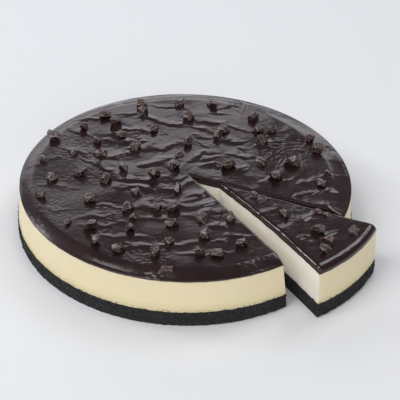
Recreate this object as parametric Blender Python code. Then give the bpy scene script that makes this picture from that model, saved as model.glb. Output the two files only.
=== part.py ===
"""A whole baked cheesecake, 250 mm across, in metres, +Z up.

A crumb base carries a thick baked filling and a spread of dark ganache with chopped chocolate bits.
One slice is cut free and slid a little way out along its right-hand cut, so it still stands in its notch.
The origin is the centre of the cake's underside. +Y points to the back of the cake.
"""

import math
import random

import bmesh
import bpy
import numpy as np
from mathutils import Euler, Vector, geometry, noise

# Heights of the three layers, from the underside up
CRUST_TOP = 0.0123
FILLING_TOP = 0.0376
GANACHE_TOP = 0.0434
LAYER_GAP = 0.0003

# Radii, measured from the cake's upright axis
CRUST_RADIUS = 0.1273
FILLING_FOOT_RADIUS = 0.1262
FILLING_RADIUS = 0.1243
GANACHE_RADIUS = 0.1245

# The notch: its point and the directions of its walls, in degrees from +X; the left wall's foot leans in
NOTCH_POINT = Vector((0.0033, -0.0009))
NOTCH_RIGHT_WALL = -21.8
NOTCH_LEFT_WALL = -57.1
NOTCH_LEAN = 1.6

# The slice, slid out of the notch: its point, its two faces, the middle of its round back, how much its
# layers differ in radius against the cake's, and how far its left face is hollowed
SLICE_POINT = Vector((0.0254, -0.0101))
SLICE_RIGHT_FACE = -23.6
SLICE_LEFT_FACE = -56.4
SLICE_SHIFT = Vector((0.0240, -0.0110))
SLICE_FLARE = 0.6
SLICE_HOLLOW = 0.0022

# Ganache: the width of its fall to the rim, which is broadest in one direction, and the thickness left at
# its edge; round another direction the slice has a short fall and a thick lip instead
RIM_FALL = 0.0130
RIM_FALL_SWING = 0.0042
BROAD_RIM = 60.0
THIN_LIP = 0.0008
SHORT_FALL = 0.0052
THICK_LIP = 0.0018
THICK_RIM = 320.0

# The thick lip lies where the cosine of the angle from its direction passes these two values; the rim sinks
# with the first power of the share outwards, and where the lip is thick half of its drop comes with the last
THICK_FROM = 0.6
THICK_FULL = 0.9
EVEN_SINK = 1.3
LATE_SINK = 6
LATE_PART = 0.5

# Its swells, broad and narrow, how deep the strokes lie in it, how fast they fade at the rim, and how far
# apart its facets are
SWELL_WIDTH = 0.048
SWELL_HEIGHT = 0.0005
MOUND_WIDTH = 0.021
MOUND_HEIGHT = 0.00024
STROKES_SUNK = 0.0002
RELIEF_FADE = 4.5
RIM_RINGS = (0.0009, 0.0024, 0.0050, 0.0095)
TOP_GRID = 0.0050
SLIVER = 0.00001

MILLIMETRE = 0.001

# Strokes that the palette knife left, in millimetres on the uncut cake. Each is a ridge: its left end, its
# right end, how far its middle bows backwards, its height, the width of its front and of its back slope
STROKES = (
    (-99, 66, -72, 51, -1.0, 0.46, 2.2, 5), (-94, 69, -66, 77, 1.0, 0.46, 2.0, 5),
    (-71, 98, -49, 104, 0.0, 0.67, 5.0, 4), (-56, 83, -38, 87, 0.5, 0.30, 1.5, 4),
    (-40, 81, 4, 71, -1.5, 0.83, 5.0, 7), (-54, 58, -27, 61, 1.5, 0.60, 3.0, 6),
    (-64, 52, -47, 57, 0.0, 0.67, 5.5, 4), (-68, 47, -55, 43, 0.0, 0.37, 1.8, 4),
    (-55, 48, -40, 46, 0.0, 0.90, 8.0, 4), (-46, 38, -35, 31, 0.0, 0.46, 3.0, 4),
    (-42, 53, -28, 57, 2.0, 0.37, 2.0, 6), (-38, 43, -26, 44, 0.0, 0.30, 1.5, 4),
    (-36, 33, 3, 43, 0.0, 0.74, 4.5, 8), (-68, 21, -35, 28, 0.0, 0.83, 5.0, 8),
    (-81, 21, -49, -3, 1.0, 0.60, 2.5, 5), (-37, 12, -1, 22, 0.0, 0.90, 7.0, 8),
    (-57, -1, 1, -2, -6.0, 1.06, 9.0, 6), (-58, -16, 9, -8, -8.0, 0.90, 6.0, 9),
    (-39, -43, 6, -42, -2.0, 0.97, 6.0, 13), (-64, -43, -34, -45, 0.0, 0.37, 3.0, 5),
    (-84, -61, -50, -52, 1.0, 0.30, 3.0, 5), (-82, -70, -38, -66, 2.0, 0.28, 2.0, 3),
    (-49, -92, 14, -85, -2.0, 0.60, 3.5, 6), (-8, -101, 40, -96, 0.0, 0.37, 2.0, 4),
    (15, -70, 42, -62, 0.0, 0.60, 4.0, 8), (-4, -54, 33, -45, 0.0, 0.53, 5.0, 5),
    (-5, -45, 30, -33, 0.0, 0.60, 4.0, 7), (-8, -38, 20, -20, -2.0, 0.90, 5.0, 12),
    (28, -78, 52, -77, 0.0, 0.46, 3.0, 5), (15, -84, 40, -80, 0.0, 0.30, 2.0, 3),
    (-62, -80, -24, -79, -1.0, 0.37, 3.0, 5), (-40, -58, 0, -57, 0.0, 0.37, 4.0, 5),
    (3, 80, 54, 60, 0.0, 0.60, 3.0, 7), (0, 70, 24, 59, 0.0, 0.53, 3.0, 6),
    (2, 57, 21, 50, 0.0, 0.37, 3.0, 4), (8, 50, 19, 33, 0.0, 0.30, 1.2, 1),
    (18, 46, 46, 50, 0.0, 0.74, 7.0, 4), (0, 18, 25, 34, 3.0, 0.60, 4.0, 7),
    (8, 22, 27, 26, 0.0, 0.46, 5.0, 4), (29, 29, 56, 23, 1.0, 0.53, 4.0, 7),
    (39, 39, 48, 38, 0.0, 0.53, 4.5, 3), (51, 41, 70, 39, 0.0, 0.60, 5.0, 4),
    (6, 14, 27, 14, 0.0, 0.90, 8.0, 4), (31, 6, 48, 9, 0.0, 0.74, 9.0, 4),
    (60, 53, 78, 53, 2.0, 0.37, 1.8, 3), (60, 50, 76, 45, 0.0, 0.37, 1.8, 3),
    (60, 47, 74, 40, 0.0, 0.37, 1.8, 3), (78, 38, 93, 31, 3.0, 0.37, 1.8, 3),
    (53, -10, 74, 4, 0.0, 0.46, 3.0, 5), (60, -15, 88, 1, 0.0, 0.30, 2.0, 4),
    (84, -13, 107, 5, 0.0, 0.74, 8.0, 5), (79, -31, 99, -14, 0.0, 1.20, 3.5, 4),
    (82, -35, 110, -38, 0.0, 0.67, 4.0, 8), (102, -19, 119, -14, 0.0, 0.60, 3.0, 6),
    (103, 2, 123, 8, 0.0, 0.74, 8.0, 4), (20, 96, 44, 101, 0.0, 0.37, 3.0, 5),
    (-30, 97, 0, 95, 0.0, 0.37, 3.0, 6), (14, 88, 36, 83, 0.0, 0.37, 2.5, 6),
    (-118, 8, -92, 22, 0.0, 0.22, 3.0, 6), (-112, -12, -78, -20, -2.0, 0.24, 5.0, 7),
    (-108, -40, -84, -52, -1.0, 0.20, 4.0, 5), (-100, 36, -72, 24, -1.0, 0.46, 4.0, 6),
    (58, -78, 88, -57, 0.0, 0.74, 3.0, 6), (54, -72, 71, -62, 0.0, 0.46, 2.5, 4),
    (44, -60, 75, -35, 0.0, 0.83, 3.5, 9), (27, -38, 46, -31, 0.0, 0.46, 3.0, 6),
    (22, -30, 38, -18, 0.0, 0.60, 3.0, 8), (60, -48, 92, -32, 0.0, 0.46, 3.0, 5),
)

# How the strokes wander: how far they are pushed about, and over which width; how they fade out, how narrow
# their ends are, and which part of a slope is rounded
WANDER = 0.0024
WANDER_WIDTH = 0.0130
STROKE_FADE = 0.7
STROKE_END = 0.4
SOFT_PART = 0.2

# How lumpy the outer walls are: the broken crumb base and the baked filling
CRUMB_SIZE = 0.0045
CRUMB_DEPTH = 0.0005
CREAM_SIZE = 0.014
CREAM_DEPTH = 0.0002

# Facets round the whole cake, and the longest facet along a cut
ARC_FACETS = 108
CUT_FACET = 0.009

# Chopped bits: the usual width, how deep they sit, how many corners they have, their depth and height as
# parts of the width, how far they are tumbled, and how unevenly their corners lie
BIT_WIDTH = 0.0138
BIT_SUNK = 0.0024
BIT_CORNERS = 12
BIT_DEPTH = (0.64, 0.92)
BIT_HEIGHT = (0.60, 0.84)
BIT_TUMBLE = 0.5
BIT_TWIST = 0.55
BIT_REACH = (0.78, 1.10)
BIT_SEED = 41

# Where the bits lie, in millimetres: each row's distance behind the middle, then its places across
BIT_ROWS = {
    100: (-6, 20),
    97: (-37,),
    85: (-35,),
    79: (-64, 2, 52),
    69: (-56,),
    62: (-80, -25, 29, 56, 67),
    52: (-51, 24, 96),
    46: (-103, 58),
    43: (-69, 2),
    36: (-39, 101),
    26: (-86, -65, -5),
    16: (-108, 57, 81),
    10: (-9, 32),
    5: (-47, 107),
    -2: (-79, 68),
    -6: (-36, -24),
    -9: (-100, -59, 101),
    -21: (-6,),
    -26: (-36,),
    -31: (-106,),
    -36: (-70,),
    -46: (-42, -20, -9),
    -57: (-37, 12, 33),
    -65: (-84, -9),
    -71: (-67, -39),
    -78: (14,),
    -88: (-63, -11, 41),
    -95: (-47,),
    -100: (-20, 11, 23),
    -118: (-13,),
}
SLICE_BIT_ROWS = {
    -27: (50,),
    -47: (98,),
    -49: (104,),
    -51: (72,),
    -70: (96, 121),
    -85: (101,),
    -94: (99,),
}
# Bits that are clearly larger or smaller than the rest
BIT_SCALE = {
    (81, 16): 1.06,
    (68, -2): 1.12,
    (32, 10): 1.10,
    (-9, 10): 1.04,
    (96, -70): 1.08,
    (-103, 46): 1.16,
    (-80, 62): 1.14,
    (98, -47): 0.75,
    (104, -49): 0.68,
    (50, -27): 0.80,
    (-36, -6): 0.50,
    (-69, 43): 0.86,
    (-5, 26): 0.74,
    (-108, 16): 0.76,
    (67, 62): 0.82,
    (107, 5): 0.58,
    (-37, -57): 0.78,
    (-51, 52): 0.88,
    (-86, 26): 0.68,
    (-84, -65): 0.76,
    (-20, -46): 0.78,
    (-36, -26): 0.90,
    (41, -88): 0.90,
}


def smooth_step(t):
    """0 below 0, 1 above 1, and an even curve between."""
    t = np.clip(t, 0.0, 1.0)
    return t * t * (3.0 - 2.0 * t)


def wobble(x, y, size, layer):
    """A smooth seeded field between about -1 and 1, whose lumps are about as wide as size."""
    return np.array([1.6 * noise.noise(Vector((a / size, b / size, layer))) for a, b in zip(x, y)])


def ramp_down(t):
    """1 at 0 down to 0 at 1: a straight slope with a rounded crest and foot."""
    t = np.clip(t, 0.0, 1.0)
    soft = SOFT_PART
    crest = 1.0 - np.minimum(t, soft) ** 2 / (2.0 * soft)
    straight = np.clip(t - soft, 0.0, 1.0 - 2.0 * soft)
    foot = np.clip(t - (1.0 - soft), 0.0, soft)
    return 1.0 + ((crest - 1.0) - straight - foot + foot ** 2 / (2.0 * soft)) / (1.0 - soft)


def stroke_height(x, y, stroke):
    """One knife stroke: a ridge that fades out at both ends, steeper in front than behind."""
    left, low, right, high, bow, height, front, back = (value * MILLIMETRE for value in stroke)
    run = Vector((right - left, high - low))
    length = run.length
    run.normalize()
    share = np.clip(((x - left) * run.x + (y - low) * run.y) / length, 0.0, 1.0)
    across = (y - low) * run.x - (x - left) * run.y - 4.0 * bow * share * (1.0 - share)
    taper = np.sin(math.pi * share) ** STROKE_FADE
    width = STROKE_END + (1.0 - STROKE_END) * taper
    slope = np.where(across > 0.0, across / back, -across / front) / width
    return height * taper * ramp_down(slope)


def pushed(x, y, layer):
    """How far a place is pushed sideways by the strokes' wandering."""
    return WANDER * wobble(x, y, WANDER_WIDTH, layer + WANDER_WIDTH)


def rim_fall(x, y, lipped):
    """Share of the way out over the rim's fall, and how far the spread has fallen there."""
    angle = np.arctan2(y, x)
    nearness = np.cos(angle - math.radians(THICK_RIM))
    thick = lipped * smooth_step((nearness - THICK_FROM) / (THICK_FULL - THICK_FROM))
    broad = RIM_FALL + RIM_FALL_SWING * np.cos(angle - math.radians(BROAD_RIM))
    width = broad + (SHORT_FALL - broad) * thick
    lip = THIN_LIP + (THICK_LIP - THIN_LIP) * thick
    share = np.clip(1.0 - (GANACHE_RADIUS - np.hypot(x, y)) / width, 0.0, 1.0)
    late = LATE_PART * thick
    curve = (1.0 - late) * share ** EVEN_SINK + late * share ** LATE_SINK
    return share, (GANACHE_TOP - FILLING_TOP - lip) * curve


def spread_height(x, y, lipped):
    """Height of the ganache over its nominal top, at places on the uncut cake."""
    near, far = x + pushed(x, y, 21.0), y + pushed(x, y, 27.0)
    strokes = sum(stroke_height(near, far, stroke) for stroke in STROKES)
    swell = SWELL_HEIGHT * wobble(x, y, SWELL_WIDTH, 1.3) + MOUND_HEIGHT * wobble(x, y, MOUND_WIDTH, 63.2)
    share, drop = rim_fall(x, y, lipped)
    return smooth_step(RELIEF_FADE * (1.0 - share)) * (strokes - STROKES_SUNK + swell) - drop


def reach(point, degrees, centre, radius):
    """How far a ray from point runs before it meets the circle."""
    direction = Vector((math.cos(math.radians(degrees)), math.sin(math.radians(degrees))))
    offset = point - centre
    along = offset.dot(direction)
    return -along + math.sqrt(along * along - offset.length_squared + radius * radius)


class Portion:
    """One cut portion in plan: a point, two faces, of which the first may be hollow, and a round back."""

    def __init__(self, point, centre, start, end, lean, flare, hollow, lipped):
        self.point = point
        self.centre = centre
        self.start = start
        self.end = end
        self.lean = lean
        self.flare = flare
        self.hollow = hollow
        self.lipped = lipped
        self.facets = max(6, round(ARC_FACETS * (end - start) / 360.0))
        self.length = reach(point, start, centre, FILLING_RADIUS)
        self.steps = max(3, round(self.length / CUT_FACET))

    def corner(self, degrees, radius):
        """Where the face in this direction meets the round back."""
        length = reach(self.point, degrees, self.centre, radius)
        heading = math.radians(degrees)
        return self.point + length * Vector((math.cos(heading), math.sin(heading)))

    def hollow_at(self, along):
        """How far the first face is hollowed at a distance from the point."""
        share = min(1.0, max(0.0, along / self.length))
        return 4.0 * self.hollow * share * (1.0 - share)

    def face(self, degrees, radius, rings):
        """Places along a face from the point outwards, without its outer corner."""
        inner = self.corner(degrees, min([radius, *rings]))
        places = [self.point.lerp(inner, i / self.steps) for i in range(self.steps)]
        places += [self.corner(degrees, ring) for ring in sorted(rings)]
        if degrees == self.start:
            inward = Vector((-math.sin(math.radians(degrees)), math.cos(math.radians(degrees))))
            places = [place + self.hollow_at((place - self.point).length) * inward for place in places]
        return places

    def back(self, radius, end, rough=None):
        """Places along the round back between its two corners."""
        begin = math.atan2(*(self.corner(self.start, radius) - self.centre).yx)
        finish = math.atan2(*(self.corner(end, radius) - self.centre).yx)
        while finish <= begin:
            finish += math.tau
        places = []
        for i in range(1, self.facets):
            angle = begin + (finish - begin) * i / self.facets
            outward = Vector((math.cos(angle), math.sin(angle)))
            place = self.centre + radius * outward
            if rough:
                place += rough(place) * outward
            places.append(place)
        return places

    def outline(self, radius, height, rough=None, rings=()):
        """The outline at one level, counter-clockwise from the point."""
        radius = FILLING_RADIUS + self.flare * (radius - FILLING_RADIUS)
        end = self.end + self.lean * max(0.0, 1.0 - height / FILLING_TOP)
        right = self.face(self.start, radius, rings)
        left = self.face(end, radius, rings)
        corners = [self.corner(degrees, radius) for degrees in (self.start, end)]
        return right + corners[:1] + self.back(radius, end, rough) + corners[1:] + left[:0:-1]

    def inside(self, spot, radius, margin):
        """Whether a spot lies in the portion, at least margin away from its outline."""
        if radius - (spot - self.centre).length < margin:
            return False
        offset = spot - self.point
        right = Vector((math.cos(math.radians(self.start)), math.sin(math.radians(self.start))))
        left = Vector((math.cos(math.radians(self.end)), math.sin(math.radians(self.end))))
        above_right = right.cross(offset) - self.hollow_at(right.dot(offset)) > margin
        below_left = offset.cross(left) > margin
        wide = self.end - self.start > 180.0
        return (above_right or below_left) if wide else (above_right and below_left)


WHOLE = Portion(NOTCH_POINT, Vector((0.0, 0.0)), NOTCH_RIGHT_WALL, NOTCH_LEFT_WALL + 360.0, NOTCH_LEAN,
                1.0, 0.0, 0.0)
SLICE = Portion(SLICE_POINT, SLICE_SHIFT, SLICE_LEFT_FACE, SLICE_RIGHT_FACE, 0.0, SLICE_FLARE,
                SLICE_HOLLOW, 1.0)


def food_material(name, colour, roughness, coat=0.0):
    material = bpy.data.materials.new(name)
    material.use_nodes = True
    shader = material.node_tree.nodes["Principled BSDF"]
    shader.inputs["Base Color"].default_value = (*colour, 1.0)
    shader.inputs["Roughness"].default_value = roughness
    shader.inputs["Metallic"].default_value = 0.0
    shader.inputs["Coat Weight"].default_value = coat
    material.diffuse_color = (*colour, 1.0)
    return material


def solid(name, vertices, faces, material):
    """A closed mesh object with its faces turned outwards."""
    mesh = bpy.data.meshes.new(name)
    mesh.from_pydata(vertices, [], faces)
    work = bmesh.new()
    work.from_mesh(mesh)
    bmesh.ops.recalc_face_normals(work, faces=work.faces)
    work.to_mesh(mesh)
    work.free()
    mesh.materials.append(material)
    mesh.shade_smooth()
    mesh.set_sharp_from_angle(angle=math.radians(35.0))
    piece = bpy.data.objects.new(name, mesh)
    bpy.context.scene.collection.objects.link(piece)
    return piece


def bridge(lower, upper):
    """The wall between two closed rows of the same length, given by their first vertices."""
    count = upper - lower
    return [(lower + i, lower + (i + 1) % count, upper + (i + 1) % count, upper + i) for i in range(count)]


def layer(name, portion, levels, material):
    """A solid stacked from outlines: levels holds (height, radius, roughness of the wall)."""
    vertices, faces, count = [], [], 0
    for row, (height, radius, rough) in enumerate(levels):
        outline = portion.outline(radius, height, rough)
        count = len(outline)
        vertices += [(spot.x, spot.y, height) for spot in outline]
        if row:
            faces += bridge((row - 1) * count, row * count)
    faces.append(tuple(reversed(range(count))))
    faces.append(tuple(range((len(levels) - 1) * count, len(levels) * count)))
    return solid(name, vertices, faces, material)


def crumb_wall(height):
    """Roughness of the broken crumb wall at one height."""
    def rough(spot):
        lump = noise.noise(Vector((spot.x / CRUMB_SIZE, spot.y / CRUMB_SIZE, height / CRUMB_SIZE)))
        return CRUMB_DEPTH * lump
    return rough


def soft_wall(height):
    """Roughness of the baked side, which is only faintly uneven."""
    def rough(spot):
        lump = noise.noise(Vector((spot.x / CREAM_SIZE, spot.y / CREAM_SIZE, height / CREAM_SIZE)))
        return CREAM_DEPTH * lump
    return rough


def crust(name, portion, material):
    """The pressed crumb base, with a worn edge at the bottom and at the top."""
    edge = 0.0004
    levels = [(0.0, CRUST_RADIUS - edge, None)]
    for share in (0.08, 0.36, 0.64, 0.92):
        height = share * CRUST_TOP
        levels.append((height, CRUST_RADIUS, crumb_wall(height)))
    levels.append((CRUST_TOP, CRUST_RADIUS - edge, None))
    return layer(name, portion, levels, material)


def filling(name, portion, material):
    """The baked filling, a little wider at its foot."""
    foot = CRUST_TOP + LAYER_GAP
    levels = []
    for share in (0.0, 0.33, 0.67, 1.0):
        height = foot + share * (FILLING_TOP - foot)
        radius = FILLING_FOOT_RADIUS + share * (FILLING_RADIUS - FILLING_FOOT_RADIUS)
        levels.append((height, radius, soft_wall(height)))
    return layer(name, portion, levels, material)


def grid_spots(portion, spacing):
    """Evenly spread places inside the portion, in staggered rows."""
    spots = []
    reach_out = GANACHE_RADIUS + SLICE_SHIFT.length
    rows = int(2.0 * reach_out / (spacing * math.sqrt(0.75)))
    columns = int(2.0 * reach_out / spacing)
    for row in range(rows):
        for column in range(columns):
            x = -reach_out + spacing * (column + 0.5 * (row % 2))
            y = -reach_out + spacing * math.sqrt(0.75) * row
            spot = Vector((x, y))
            if portion.inside(spot, GANACHE_RADIUS - RIM_RINGS[-1], 0.45 * spacing):
                spots.append(spot)
    return spots


def top_heights(portion, spots):
    """Heights of the ganache's surface at places on this portion."""
    x = np.array([spot.x for spot in spots]) - portion.centre.x
    y = np.array([spot.y for spot in spots]) - portion.centre.y
    return GANACHE_TOP + spread_height(x, y, portion.lipped)


def ganache(name, portion, material):
    """The ganache spread: an uneven top that sinks towards the rim, over a flat underside."""
    rings = [GANACHE_RADIUS - inward for inward in RIM_RINGS]
    outline = portion.outline(GANACHE_RADIUS, GANACHE_TOP, None, rings)
    count = len(outline)
    loop = [(i, (i + 1) % count) for i in range(count)]
    spots = outline + grid_spots(portion, TOP_GRID)
    for ring in rings:
        spots += portion.back(ring, portion.end)
    flat, _, triangles = geometry.delaunay_2d_cdt(spots, loop, [], 0, 1e-6, False)[:3]
    vertices = [(spot.x, spot.y, height) for spot, height in zip(flat, top_heights(portion, flat))]
    faces = []
    for triangle in triangles:
        middle = sum((flat[i] for i in triangle), Vector((0.0, 0.0))) / 3.0
        if portion.inside(middle, GANACHE_RADIUS, SLIVER):
            faces.append(tuple(triangle))
    underside = len(vertices)
    floor = FILLING_TOP + LAYER_GAP
    vertices += [(spot.x, spot.y, floor) for spot in flat[:count]]
    faces += [(a, b, underside + b, underside + a) for a, b in loop]
    faces.append(tuple(range(underside, underside + count)))
    return solid(name, vertices, faces, material)


def chopped_bit(chance, width):
    """Corner points of one broken bit of chocolate: a tumbled, uneven lump with flat, sharp-edged sides."""
    size = Vector((1.0, chance.uniform(*BIT_DEPTH), chance.uniform(*BIT_HEIGHT))) * width / 2.0
    tilts = [chance.uniform(-BIT_TUMBLE, BIT_TUMBLE) for _ in range(2)]
    tumble = Euler([*tilts, chance.uniform(0.0, math.tau)])
    corners = []
    for i in range(BIT_CORNERS):
        rise = 1.0 - 2.0 * (i + 0.5) / BIT_CORNERS
        angle = i * math.pi * (3.0 - math.sqrt(5.0)) + chance.uniform(-BIT_TWIST, BIT_TWIST)
        ring = math.sqrt(1.0 - rise * rise)
        place = Vector((ring * math.cos(angle), ring * math.sin(angle), rise)) * chance.uniform(*BIT_REACH)
        place = Vector([part * half for part, half in zip(place, size)])
        place.rotate(tumble)
        corners.append(place)
    return corners


def bit_object(corners, place, collection):
    """The closed lump round a bit's corners."""
    work = bmesh.new()
    for corner in corners:
        work.verts.new(corner + place)
    hull = bmesh.ops.convex_hull(work, input=work.verts)
    loose = list({*hull["geom_interior"], *hull["geom_unused"]})
    bmesh.ops.delete(work, geom=loose, context="VERTS")
    bmesh.ops.recalc_face_normals(work, faces=work.faces)
    mesh = bpy.data.meshes.new("bit")
    work.to_mesh(mesh)
    work.free()
    piece = bpy.data.objects.new("bit", mesh)
    collection.objects.link(piece)
    return piece


def scatter_bits(portion, rows, seed, collection):
    """The chopped bits on one portion, each sunk a little way into the ganache."""
    for behind, places in rows.items():
        for right in places:
            chance = random.Random(f"{seed} {behind} {right}")
            width = BIT_WIDTH * BIT_SCALE.get((right, behind), 1.0)
            corners = chopped_bit(chance, width)
            spot = Vector((right, behind)) * MILLIMETRE
            low = min(corner.z for corner in corners)
            height = top_heights(portion, [spot])[0] - low - BIT_SUNK
            bit_object(corners, Vector((spot.x, spot.y, height)), collection)


def fuse_bits(piece, portion, rows, seed):
    """Join the bits to the ganache that they lie on, as one solid."""
    bits = bpy.data.collections.new("bits")
    bpy.context.scene.collection.children.link(bits)
    scatter_bits(portion, rows, seed, bits)
    joined = piece.modifiers.new("bits", "BOOLEAN")
    joined.operation = "UNION"
    joined.operand_type = "COLLECTION"
    joined.collection = bits
    joined.solver = "EXACT"
    evaluated = piece.evaluated_get(bpy.context.evaluated_depsgraph_get())
    mesh = bpy.data.meshes.new_from_object(evaluated)
    piece.modifiers.clear()
    piece.data = mesh
    mesh.name = piece.name
    for bit in list(bits.objects):
        bpy.data.objects.remove(bit)
    bpy.data.collections.remove(bits)


def build():
    for old in list(bpy.data.objects):
        bpy.data.objects.remove(old)
    crumb = food_material("cocoa_crumb", (0.022, 0.017, 0.016), 0.9)
    cream = food_material("baked_filling", (0.83, 0.74, 0.55), 0.55)
    dark = food_material("ganache", (0.026, 0.016, 0.014), 0.25, 0.4)
    for prefix, portion, rows in (("", WHOLE, BIT_ROWS), ("slice_", SLICE, SLICE_BIT_ROWS)):
        crust(prefix + "crust" if prefix else "crust_base", portion, crumb)
        filling(prefix + "filling", portion, cream)
        top = ganache(prefix + "ganache", portion, dark)
        fuse_bits(top, portion, rows, BIT_SEED)


build()
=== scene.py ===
"""The looks of a baked cheesecake: crumb base, ivory filling, knife-spread ganache and chopped chocolate."""

import math
import random

import bmesh
import bpy
import numpy as np
from mathutils import Euler, Matrix, Vector, geometry, noise


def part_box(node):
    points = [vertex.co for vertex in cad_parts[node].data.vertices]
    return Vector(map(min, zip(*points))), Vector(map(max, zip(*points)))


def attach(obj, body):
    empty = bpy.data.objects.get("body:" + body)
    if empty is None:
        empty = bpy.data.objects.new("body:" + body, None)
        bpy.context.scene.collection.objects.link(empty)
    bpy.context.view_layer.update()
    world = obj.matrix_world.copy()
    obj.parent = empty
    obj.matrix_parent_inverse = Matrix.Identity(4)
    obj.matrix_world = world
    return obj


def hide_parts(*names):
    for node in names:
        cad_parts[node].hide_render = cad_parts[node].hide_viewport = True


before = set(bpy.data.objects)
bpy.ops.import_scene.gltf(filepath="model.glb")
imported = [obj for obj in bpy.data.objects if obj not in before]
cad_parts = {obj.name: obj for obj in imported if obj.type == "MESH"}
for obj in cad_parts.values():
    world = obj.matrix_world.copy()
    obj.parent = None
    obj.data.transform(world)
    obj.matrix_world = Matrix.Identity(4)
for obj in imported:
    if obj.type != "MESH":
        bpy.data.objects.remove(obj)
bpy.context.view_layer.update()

MILLIMETRE = 0.001

# Heights and radii, the first two read from the solids that the pieces replace
CRUST_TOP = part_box("crust_base")[1].z
FILLING_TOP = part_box("filling")[1].z
GANACHE_THICK = 0.0058
GANACHE_TOP = FILLING_TOP + GANACHE_THICK
CRUST_RADIUS = 0.1264
FILLING_FOOT_RADIUS = 0.1261
FILLING_RADIUS = 0.1241
GANACHE_RADIUS = 0.1245

# How far neighbouring layers reach into each other
TUCK = 0.0002

# The notch: its point and the directions of its walls, in degrees from +X; the left wall's foot leans in
NOTCH_POINT = Vector((0.0033, -0.0009))
NOTCH_RIGHT_WALL = -21.8
NOTCH_LEFT_WALL = -57.1
NOTCH_LEAN = 1.6

# The slice, slid out of the notch: its point, its two faces, the middle of its round back, how much its
# layers differ in radius against the cake's, and how far its left face is hollowed
SLICE_POINT = Vector((0.0254, -0.0101))
SLICE_RIGHT_FACE = -23.6
SLICE_LEFT_FACE = -56.4
SLICE_SHIFT = Vector((0.0240, -0.0110))
SLICE_FLARE = 0.6
SLICE_HOLLOW = 0.0022

# Ganache: the width of its fall to the rim, which is broadest in one direction, and the thickness left at
# its edge; round another direction the slice has a short fall and a thick lip instead
RIM_FALL = 0.0130
RIM_FALL_SWING = 0.0042
BROAD_RIM = 60.0
THIN_LIP = 0.0008
SHORT_FALL = 0.0052
THICK_LIP = 0.0018
THICK_RIM = 320.0

# The thick lip lies where the cosine of the angle from its direction passes these two values; the rim sinks
# with the first power of the share outwards, and where the lip is thick half of its drop comes with the last
THICK_FROM = 0.6
THICK_FULL = 0.9
EVEN_SINK = 1.3
LATE_SINK = 6
LATE_PART = 0.5

# Heights of its relief, how deep the strokes lie in it, and how fast all of it fades at the rim
SWELL_HEIGHT = 0.0005
MOUND_HEIGHT = 0.00024
STREAK_HEIGHT = 0.00007
RUFFLE_HEIGHT = 0.00009
WRINKLE_HEIGHT = 0.00010
STROKES_SUNK = 0.0002
RELIEF_FADE = 4.5

# Fields that its relief follows: how wide their lumps are, and the layer of noise that each is taken from
SWELL = (0.048, 1.3)
MOUNDS = (0.021, 63.2)
FLOW = (0.045, 51.7)
STREAKS = (0.0100, 9.4)
FOLDS = (0.0150, 3.3)
RUFFLES = (0.0048, 41.1)
WRINKLES = (0.0030, 5.0)

# Fields that choose patches: width and layer as above, then contrast and how far the patches are widened
PRESSED_PATCHES = (0.0120, 77.7, 1.3, 0.5)
STREAKY_PATCHES = (0.024, 17.2, 1.4, 0.35)
RUFFLED_PATCHES = (0.028, 31.6, 1.2, 0.5)
WRINKLED_PATCHES = (0.030, 7.7, 1.0, 0.2)

# How far the sweep of the knife bends, and how much finer than along it each relief is across it
FLOW_BEND = 0.013
PATCH_STRETCH = 1.2
STREAK_STRETCH = 3.2
FOLD_STRETCH = 1.15
WRINKLE_STRETCH = 1.5

# Strokes are this low under a light hand, and gain this much under a heavy one
LIGHT_HAND = 0.60
HEAVY_HAND = 0.70

# The least share of the ruffles, the ruffles' part in the folds and the wrinkles' in the satin
LEAST_RUFFLED = 0.35
RUFFLES_IN_FOLDS = 0.5
SATIN_WRINKLES = 0.6

# The satin begins left of this x and is full this much further on
SATIN_EDGE = -0.055
SATIN_FADE = 0.040

# At the front left the relief loses this part of its height, past a slanting line and over a width
CALM = 0.7
CALM_SLANT = 0.7
CALM_EDGE = 0.020
CALM_FADE = 0.060

# The cut edges' rounding: its width and the slope at which it ends
CUT_ROUND = 0.0022
CUT_SLOPE = 1.25

# The mesh of the top: its pitch, how many pitches inside the rim and the rounded cuts its grid begins, the
# rings along the rim, the rows along the cuts as shares of their rounding, how near the next outline these
# may come, and the margin that leaves out slivers
TOP_GRID = 0.00085
GRID_IN_RIM = 2.0
GRID_IN_CUT = 0.3
RIM_RINGS = (0.0003, 0.0008, 0.0014)
CUT_ROWS = (0.04, 0.14, 0.3, 0.5, 0.75, 1.0)
CUT_ROW_CLEAR = 0.6
SLIVER = 0.000002

# Its wall: the rows down it, the depth and the width of its lumps, and its height as their noise reads it
WALL_ROWS = (0.25, 0.5, 0.75, 1.0)
WALL_LUMPS = (0.0002, 0.006)
WALL_READ = 0.004

# Its lower edge wanders over the filling: how far round the rim and, nearer than a distance to them, on the
# cuts, in a broad and a fine wave
EDGE_WANDER = 0.00035
CUT_EDGE_WANDER = 0.0001
CUT_EDGE_REACH = 0.001
BROAD_WAVE = 0.007
FINE_WAVE = 0.0022
FINE_WAVE_PART = 0.7

# How strongly the knife's fine lines curve over the cake
SWEEP_BEND = 2.5

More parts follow.
